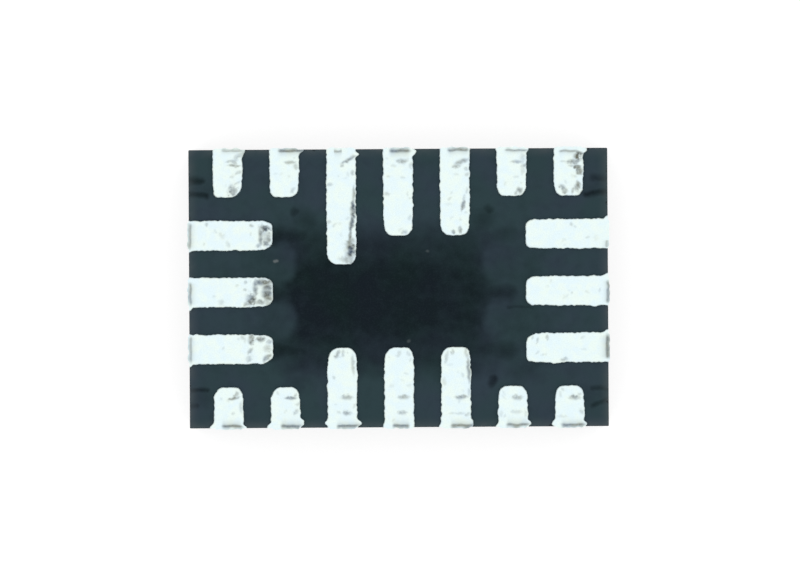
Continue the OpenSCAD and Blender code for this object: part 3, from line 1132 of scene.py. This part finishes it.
# %% Marks seen on the pads
# A mark is (along the row, from the wall, length, width, turn in degrees, strength)
MARKS = {
    "lead_01": [
        (75, 40, 95, 26, 50, 43), (30, 80, 85, 14, 8, 40), (50, 92, 35, 30, 0, 43),
        (45, 111, 85, 13, -5, 58), (72, 160, 50, 16, 40, 32), (28, 192, 32, 12, 30, 25),
        (67, 235, 60, 11, 35, 29), (36, 291, 65, 60, 0, 68),
    ],
    "lead_02": [
        (40, 90, 80, 16, 0, 53), (75, 120, 50, 18, 90, 37), (30, 190, 25, 14, 0, 15),
        (57, 285, 50, 14, 45, 31),
    ],
    "lead_03": [
        (50, 75, 115, 14, 28, 65), (75, 57, 40, 18, 30, 50), (7, 115, 30, 16, 30, 40),
        (75, 165, 40, 14, 80, 40), (-75, 247, 40, 14, 0, 35), (-83, 510, 30, 16, 0, 30),
        (84, 310, 110, 13, 88, 55), (80, 425, 150, 24, 87, 100), (68, 525, 120, 18, 82, 90),
        (58, 610, 100, 13, 84, 75), (61, 700, 150, 42, 86, 100), (60, 715, 180, 50, 87, 55),
        (42, 775, 50, 60, 90, 55), (8, 770, 40, 45, 90, 28),
    ],
    "lead_04": [
        (28, 85, 75, 24, 0, 61), (-30, 117, 40, 14, 0, 16), (84, 118, 50, 14, 90, 26),
        (32, 200, 40, 10, 0, 19), (-75, 315, 40, 18, 10, 32), (77, 485, 45, 14, 80, 26),
        (43, 580, 45, 16, 15, 38),
    ],
    "lead_05": [
        (47, 92, 100, 22, 20, 65), (12, 124, 60, 20, 5, 49), (76, 142, 30, 18, 60, 36),
        (79, 182, 30, 14, 30, 32), (10, 182, 40, 12, 0, 16), (81, 297, 50, 12, 85, 28),
        (60, 350, 60, 10, 80, 32), (55, 400, 80, 16, 76, 81), (-45, 390, 50, 12, 0, 12),
        (-11, 580, 26, 18, 90, 61), (36, 570, 50, 18, 90, 57),
    ],
    "lead_06": [
        (70, 70, 90, 22, 90, 27), (35, 94, 80, 15, 0, 46), (85, 120, 50, 14, 20, 49),
        (72, 155, 70, 16, 90, 27), (30, 200, 50, 12, 10, 15), (52, 293, 45, 26, 20, 65),
        (28, 312, 30, 12, 70, 46),
    ],
    "lead_07": [
        (62, 53, 65, 36, 90, 100), (35, 96, 95, 24, 4, 80), (-35, 95, 50, 10, 0, 25),
        (20, 126, 50, 10, 0, 35), (58, 132, 50, 22, 10, 100), (74, 162, 60, 28, -65, 85),
        (45, 200, 30, 12, 0, 20), (-42, 276, 60, 20, -25, 60), (-26, 300, 40, 24, 60, 60),
        (62, 268, 70, 26, 80, 80), (30, 296, 45, 12, 75, 50),
    ],
    "lead_08": [
        (65, 257, 28, 16, 0, 30), (-30, 85, 50, 30, 0, 9),
    ],
    "lead_09": [
        (2, 60, 35, 10, 0, 21), (-40, 300, 50, 16, 50, 13),
    ],
    "lead_10": [
        (-80, 313, 55, 18, 90, 41), (65, 430, 38, 14, 10, 41), (48, 500, 50, 11, 22, 33),
        (70, 535, 30, 10, 20, 25),
    ],
    "lead_11": [
        (35, 203, 85, 24, 0, 64), (77, 104, 30, 24, 0, 32), (-50, 70, 80, 14, 0, 16),
        (-66, 225, 45, 12, 80, 19), (-48, 255, 25, 12, 0, 22), (70, 225, 30, 14, -30, 26),
    ],
    "lead_12": [
        (22, 105, 85, 18, 0, 23), (30, 207, 75, 24, 0, 54), (83, 90, 60, 12, 90, 20),
        (-78, 90, 50, 16, 90, 17), (-60, 235, 40, 12, 60, 13),
    ],
    "lead_13": [
        (26, 96, 80, 12, 0, 23), (-30, 97, 50, 10, 0, 17), (75, 88, 40, 16, -35, 30),
        (37, 211, 85, 20, -5, 63), (86, 245, 60, 12, 90, 30), (84, 400, 180, 15, 88, 66),
        (73, 510, 70, 16, 75, 33), (-64, 490, 95, 14, -80, 33), (-78, 320, 60, 18, 90, 20),
        (-23, 524, 30, 20, 0, 40), (-40, 440, 50, 14, 0, 10),
    ],
    "lead_14": [
        (20, 103, 70, 20, 0, 43), (30, 213, 80, 22, 0, 56), (-50, 292, 40, 20, 0, 12),
        (68, 295, 35, 20, 0, 12), (0, 515, 50, 18, -50, 28), (68, 512, 40, 20, 60, 22),
    ],
    "lead_15": [
        (30, 103, 60, 24, 0, 60), (-25, 107, 35, 12, 20, 20), (30, 213, 85, 22, 0, 57),
        (82, 155, 45, 12, -60, 23), (-58, 353, 30, 14, 80, 27), (73, 440, 140, 16, 88, 40),
        (-33, 515, 60, 20, -60, 54), (6, 520, 45, 16, 90, 37),
    ],
    "lead_16": [
        (37, 210, 80, 16, 0, 74), (70, 228, 35, 14, -60, 37), (70, 113, 50, 18, -60, 33),
        (83, 167, 35, 16, -45, 30), (-55, 245, 30, 12, 60, 18),
    ],
    "lead_17": [
        (35, 210, 85, 14, -10, 70), (52, 235, 50, 20, -20, 48), (30, 103, 28, 14, 0, 22),
        (83, 145, 85, 16, 90, 26),
    ],
    "lead_18": [
        (67, 435, 80, 28, 0, 81), (78, 375, 40, 16, 60, 30), (-11, 428, 55, 16, -40, 47),
        (-65, 420, 45, 28, 0, 42), (69, 500, 65, 24, 90, 81), (-60, 540, 70, 20, -40, 68),
        (6, 545, 60, 30, 0, 38), (52, 552, 35, 20, 30, 42),
    ],
    "lead_19": [
        (-78, 403, 45, 20, -50, 50), (-52, 440, 75, 50, -35, 100), (30, 468, 120, 24, 0, 70),
        (68, 515, 115, 34, 90, 85), (-66, 503, 80, 22, 90, 70), (-3, 546, 165, 46, 0, 90),
        (18, 393, 22, 16, 0, 35), (68, 398, 28, 14, 60, 35), (-68, 228, 45, 30, 0, 25),
    ],
    "lead_20": [
        (-2, 506, 150, 22, 0, 75), (-10, 540, 130, 50, 0, 38), (-67, 488, 40, 18, -60, 45),
        (-56, 538, 40, 34, 0, 75), (-18, 550, 60, 22, 0, 65), (47, 532, 45, 52, 0, 100),
        (68, 442, 32, 14, 60, 45), (75, 128, 26, 18, 0, 35), (0, 232, 60, 24, 40, 20),
        (-58, 275, 50, 20, 30, 20),
    ],
}
print("marks on", len(MARKS), "pads:", sum(len(marks) for marks in MARKS.values()))

# %% [markdown]
# A mark is a shallow dent whose outline wanders, with a low ridge of displaced metal beside it. Each pad
# also has a few faint stray marks at random places. All noise is seeded by the lead's number, so every
# run gives the same wear. A ripple is given as its height and its length in millimetres.

# %% Noise and stray marks
PER_MM = 1000
PERCENT = 100
SLIT_UNITS = (PER_MM, PER_MM, PER_MM, PER_MM, PERCENT)
EAR_UNITS = (1, PER_MM, PER_MM, PER_MM)
CORNER_UNITS = (PER_MM, PER_MM)
MARK_UNITS = (PER_MM, PER_MM, PER_MM, PER_MM, 1, PERCENT)
STRAYS_PER_MM = 10
STRAY_ALONG = (-0.08, 0.08)
STRAY_FROM_WALL = 0.04
STRAY_FROM_END = 0.03
STRAY_LENGTH = (0.015, 0.045)
STRAY_WIDTH = 0.010
STRAY_TURN = (0, 180)
STRAY_STRENGTH = (0.08, 0.22)


def from_list(values, units):
    return tuple(value / unit for value, unit in zip(values, units))


def step_up(low, high, value):
    t = np.clip((value - low) / (high - low), 0, 1)
    return t * t * (3 - 2 * t)


def ripple(x, y, wave, seed):
    height, length = wave
    spots = [Vector((a / length, b / length, seed)) for a, b in zip(x, y)]
    return height * np.array([noise.noise(spot) for spot in spots])


def stray_marks(lead, seed):
    chance = np.random.default_rng(int(seed) + 1)
    pad_length = lead["outer"] - lead["pad_end"]
    made = []
    for _ in range(int(STRAYS_PER_MM * pad_length)):
        along = chance.uniform(*STRAY_ALONG)
        from_wall = chance.uniform(STRAY_FROM_WALL, pad_length - STRAY_FROM_END)
        length = chance.uniform(*STRAY_LENGTH)
        turn = chance.uniform(*STRAY_TURN)
        strength = chance.uniform(*STRAY_STRENGTH)
        made.append((along, from_wall, length, STRAY_WIDTH, turn, strength))
    return made


print("stray marks on the first pad:", len(stray_marks(leads["lead_01"], 0)))

# %% Shape of a mark
# Heights and places across a mark are shares of its width, and lengths are in millimetres
SWAY = (0.4, 0.03)
SWELL = (0.3, 0.025)
RAGGED = 0.3
CALM_LENGTH = 0.07
HALF_WIDTH = 0.6
SOFT_EDGE = 0.002
MIDDLE_WIDTH = 1.05
NARROWING = 0.5
LEAST_WIDTH = 0.3
STEEPNESS = 2.6
FURTHEST_SHARE = 1.5
PATCHY = 0.45
PATCHY_MEAN = 0.94
PATCHY_RANGE = (0.5, 1.08)
RIDGE_PLACE = 0.9
RIDGE_WIDTH = 0.5


def mark_shape(along, from_wall, grit, mark, seed):
    offset, inward, length, width, turn, strength = mark
    c, s = math.cos(math.radians(turn)), math.sin(math.radians(turn))
    a, b = along - offset, inward - from_wall
    run, over = a * c + b * s, b * c - a * s
    still = np.zeros(len(run))
    grit = grit * min(1.0, CALM_LENGTH / length)
    over = over + width * (ripple(run, still, SWAY, seed + offset) + RAGGED * grit)
    share = np.clip(np.abs(run + RAGGED * width * grit) / (length / 2), 0, FURTHEST_SHARE)
    taper = np.maximum(MIDDLE_WIDTH - NARROWING * share**2, LEAST_WIDTH)
    slim = (HALF_WIDTH * width + SOFT_EDGE) * taper * (1 + ripple(run, still, SWELL, seed + inward))
    ends = np.exp(-(share**4))
    shape = ends * np.exp(-(np.abs(over / slim) ** STEEPNESS))
    shape = shape * np.clip(PATCHY_MEAN + PATCHY * grit, *PATCHY_RANGE)
    ridge = ends * np.exp(-(((over + RIDGE_PLACE * width) / (RIDGE_WIDTH * width)) ** 2))
    return strength * shape, strength * ridge


print("a mark is widest at", HALF_WIDTH * MIDDLE_WIDTH, "of its width to each side")

# %% All marks of a pad
ROUGH = (1.0, 0.016)
FINE_ROUGH = (0.6, 0.007)
MOTTLE = (0.45, 0.025)
MOTTLE_STRETCH = 0.6
MOTTLE_MEAN = 0.92
MOTTLE_RANGE = (0.6, 1.05)
BROAD_MARK = 0.02
NEAR_LENGTHS = 0.75
NEAR_WIDTHS = 1.5
DEEPEST_MARK = 0.004
DEPTH_SHARE = 0.22
RIDGE_SHARE = 0.4


def scars_and_shade(marks, seed, u, v, along, from_wall):
    rough = ripple(u, v, ROUGH, seed + 3) + ripple(u, v, FINE_ROUGH, seed + 4)
    mottle = np.clip(MOTTLE_MEAN + ripple(u, MOTTLE_STRETCH * v, MOTTLE, seed + 11), *MOTTLE_RANGE)
    # The first mask is how strongly each point is dented; the tin darkens it there with painted shade
    scar_and_shade = np.zeros(len(u))
    sink = np.zeros(len(u))
    for mark in marks:
        offset, inward, length, width = mark[:4]
        reach = NEAR_LENGTHS * length + NEAR_WIDTHS * width
        near = np.hypot(along - offset, from_wall - inward) < reach
        shape, ridge = mark_shape(along[near], from_wall[near], rough[near], mark, seed)
        if width > BROAD_MARK:
            shape = shape * mottle[near]
        depth = min(DEPTH_SHARE * width, DEEPEST_MARK)
        scar_and_shade[near] = np.maximum(scar_and_shade[near], shape)
        sink[near] += depth * (shape - RIDGE_SHARE * ridge)
    return scar_and_shade, sink


print("marks are up to", DEEPEST_MARK, "mm deep")

# %% Slit and corners
SLIT_SWAY = (0.006, 0.05)
SLIT_SWELL = (0.4, 0.03)
SLIT_ENDS = (1.05, 0.7)
TAIL_REACH = 1.9
TAIL_SHARE = 0.32
SHARP_SHARE = 0.68


# A slit's mask sinks a shallow groove and darkens the tin; that darkness, sharp at the groove with a soft
# tail inward, is painted shadow
def slit_with_shadow(slit_and_shadow, seed, along, from_wall):
    start, end, inward, width, strength = slit_and_shadow
    share = (along - (start + end) / 2) / ((end - start) / 2)
    deep = from_wall - inward + ripple(along, np.zeros(len(along)), SLIT_SWAY, seed + 5)
    thick = 0.5 * width * (1 + ripple(along, deep, SLIT_SWELL, seed + 12))
    soft_tail = np.where(deep > 0, TAIL_REACH * width, thick)
    shape = SHARP_SHARE * np.exp(-((deep / thick) ** 2)) + TAIL_SHARE * np.exp(-((deep / soft_tail) ** 2))
    return strength * shape * step_up(*SLIT_ENDS, np.abs(share))


def corner_rise(away, radius):
    reach = np.clip(away + radius, 0, radius)
    return radius - np.sqrt(radius**2 - reach**2)


print("slits fade out over", TAIL_REACH, "times their width")

# %% [markdown]
# The wear moves the points of a pad's upper part and stores how scarred each one is. The tin shows this
# as dullness and as painted shade. The sides are wavy because the plating grows unevenly, the inner
# corners take their own radii, and the cut end gets a lip that hangs over the wall by a few micrometres. A
# sculpting brush could do this by hand, but not the same way twice.

# %% Wearing a pad
SEED_STEP = 10.0
BROAD_SWELL = (0.0012, 0.07)
FINE_SWELL = (0.0005, 0.013)
CLEAN_RIM = 0.014
SLIT_DEPTH = 0.009
PLATING_SPREAD = 0.007
SHORT_WAVE = (0.006, 0.022)
LONG_WAVE = (0.004, 0.07)
TAPER = 0.05
TAPER_LENGTH = 0.2
END_SPREAD = {"upper": 0.009, "lower": 0.009, "left": 0.017, "right": 0.006}
END_WAVE = (0.004, 0.03)
END_LENGTH = 0.05
CORNER_LENGTH = 0.1
EAR_EDGE = 3
EAR_ROOT = 5
LIP_REACH = 0.016
LIP_MEAN = 0.6
LIP_WAVE = (0.6, 0.04)
LIP_LENGTH = 0.009
LIP_SHARE = 0.86


def wear_pad(piece, name):
    lead, seed = leads[name], SEED_STEP * lead_names.index(name)
    u, v, z = np.array([vertex.co for vertex in piece.data.vertices]).T.copy()
    still = np.zeros(len(u))
    along = u * ROW_SIGN[lead["wall"]]
    from_wall = lead["outer"] - v
    from_end = v - lead["pad_end"]
    half = lead["width"] / 2
    away = np.abs(u) - half
    top = step_up(pad_z - RIM, pad_z - RIM / 4, z)
    above = step_up(mould_z, pad_z - RIM, z)

    # Dents in the top, kept off the rim, whose darkness in the tin is painted shade
    marks = [from_list(mark, MARK_UNITS) for mark in MARKS[name]] + stray_marks(lead, seed)
    scar_and_shade, sink = scars_and_shade(marks, seed, u, v, along, from_wall)
    clean = step_up(0.0, CLEAN_RIM, PLATING_SPREAD - away) * step_up(0.0, CLEAN_RIM, from_end)
    # The slit also darkens the tin here, as painted shadow of its groove
    slit_and_shadow = slit_with_shadow(from_list(SLITS[name], SLIT_UNITS), seed, along, from_wall)
    scar_and_shade = np.maximum(scar_and_shade * clean, slit_and_shadow)
    sink = sink * clean + SLIT_DEPTH * slit_and_shadow
    z += top * (ripple(u, v, BROAD_SWELL, seed + 1) + ripple(u, v, FINE_SWELL, seed + 2) - sink)

    # Inner end with its two corners
    first_corner, second_corner = from_list(CORNERS[name], CORNER_UNITS)
    radius = np.where(along > 0, second_corner, first_corner)
    rise = corner_rise(away, lead_corner)
    bend = (corner_rise(away, radius) - rise) * step_up(CORNER_LENGTH, 0.0, from_end - rise)
    tip = END_SPREAD[lead["wall"]] + ripple(u, still, END_WAVE, seed + 8)
    v += above * (bend - tip * step_up(END_LENGTH, 0.0, from_end))

    # Wavy sides, ears and lip
    wave = PLATING_SPREAD + ripple(np.sign(u), v, SHORT_WAVE, seed + 6)
    wave += ripple(np.sign(u), v, LONG_WAVE, seed + 7)
    wave -= half * TAPER * step_up(TAPER_LENGTH, 0.0, from_end)
    u += above * np.sign(u) * (np.abs(u) / half) ** 2 * wave
    for side, inward, reach, length in (from_list(ear, EAR_UNITS) for ear in EARS[name]):
        ear = reach * np.exp(-(np.abs((from_wall - inward) / length) ** EAR_EDGE))
        root = np.clip(np.abs(u) / half, 0, 1) ** EAR_ROOT
        u += above * (side * along > 0) * np.sign(u) * root * ear
    lip = LIP_REACH * (LIP_MEAN + ripple(u, still, LIP_WAVE, seed + 9))
    v += above * step_up(LIP_LENGTH, 0.0, from_wall) * lip * step_up(half, half * LIP_SHARE, np.abs(u))

    piece.data.vertices.foreach_set("co", np.stack([u, v, z], axis=1).astype(np.float32).ravel())
    stored = piece.data.attributes.new("mark", "FLOAT", "POINT")
    stored.data.foreach_set("value", (scar_and_shade * top).astype(np.float32))


print("wear ready for", len(MARKS), "pads")

# %% Copy, wear, finish and place every lead
FACING_WALL = 0.5
SHARPEST_SMOOTH = 40


def on_plating(points, face):
    return points[:, 2].mean() > mould_z - CLOSE


def sawn_end_of(lead):
    def sawn_end(points, face):
        at_wall = points[:, 1].min() > lead["outer"] - CLOSE and face.normal.y > FACING_WALL
        at_tie = lead["tie"] is not None and np.allclose(points[:, 0], lead["tie"][0], atol=CLOSE)
        return at_wall or at_tie

    return sawn_end


for name, lead in leads.items():
    piece = copy_of(kinds[lead_kind(lead)], name + "_skin")
    wear_pad(piece, name)
    for material in (etched_copper, tin_plate, sawn_copper):
        piece.data.materials.append(material)
    set_finish(piece, 1, on_plating)
    set_finish(piece, 2, sawn_end_of(lead))
    bpy.ops.object.shade_smooth_by_angle(angle=math.radians(SHARPEST_SMOOTH))
    to_wall(piece, lead)
    place(piece, scale=MM)
    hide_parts(name)
    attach(piece, "root")
for kind in kinds.values():
    bpy.data.objects.remove(kind, do_unlink=True)
print("leads placed:", len(leads))

# %% [markdown]
# ## Inside the block
#
# The die, its copper pillars and their solder can't be seen from outside, but they are part of the model.
# They could be modelled again like the leads, but nothing of their form would change, so their solids
# stay and get the finish of the real ones: bluish polished silicon, plated copper and dull solder.

# %% Silicon, pillars and solder
# The roughness runs between the two values of the gloss
INNER = {
    "silicon_die": {
        "slot": "silicon",
        "finish": "die_silicon",
        "colours": ((0.06, 0.065, 0.08, 1), (0.14, 0.15, 0.18, 1)),
        "grain": 0.25,
        "gloss": (0.12, 0.28),
        "metallic": 0.0,
    },
    "copper_pillars": {
        "slot": "copper",
        "finish": "pillar_copper",
        "colours": ((0.55, 0.26, 0.16, 1), (0.82, 0.48, 0.33, 1)),
        "grain": 0.012,
        "gloss": (0.30, 0.50),
        "metallic": 1.0,
    },
    "solder_joints": {
        "slot": "solder",
        "finish": "dull_solder",
        "colours": ((0.45, 0.45, 0.44, 1), (0.72, 0.72, 0.70, 1)),
        "grain": 0.015,
        "gloss": (0.35, 0.55),
        "metallic": 1.0,
    },
}
for node, look in INNER.items():
    material, shader, place_mm = new_material(look["finish"])
    pits = add_speckle(place_mm, look["grain"])
    dress(shader, blend_colour(pits, *look["colours"]), spread(pits, *look["gloss"]))
    shader.inputs["Metallic"].default_value = look["metallic"]
    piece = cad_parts[node]
    piece.data.materials.clear()
    piece.data.materials.append(material)
print("inner nodes finished:", len(INNER))
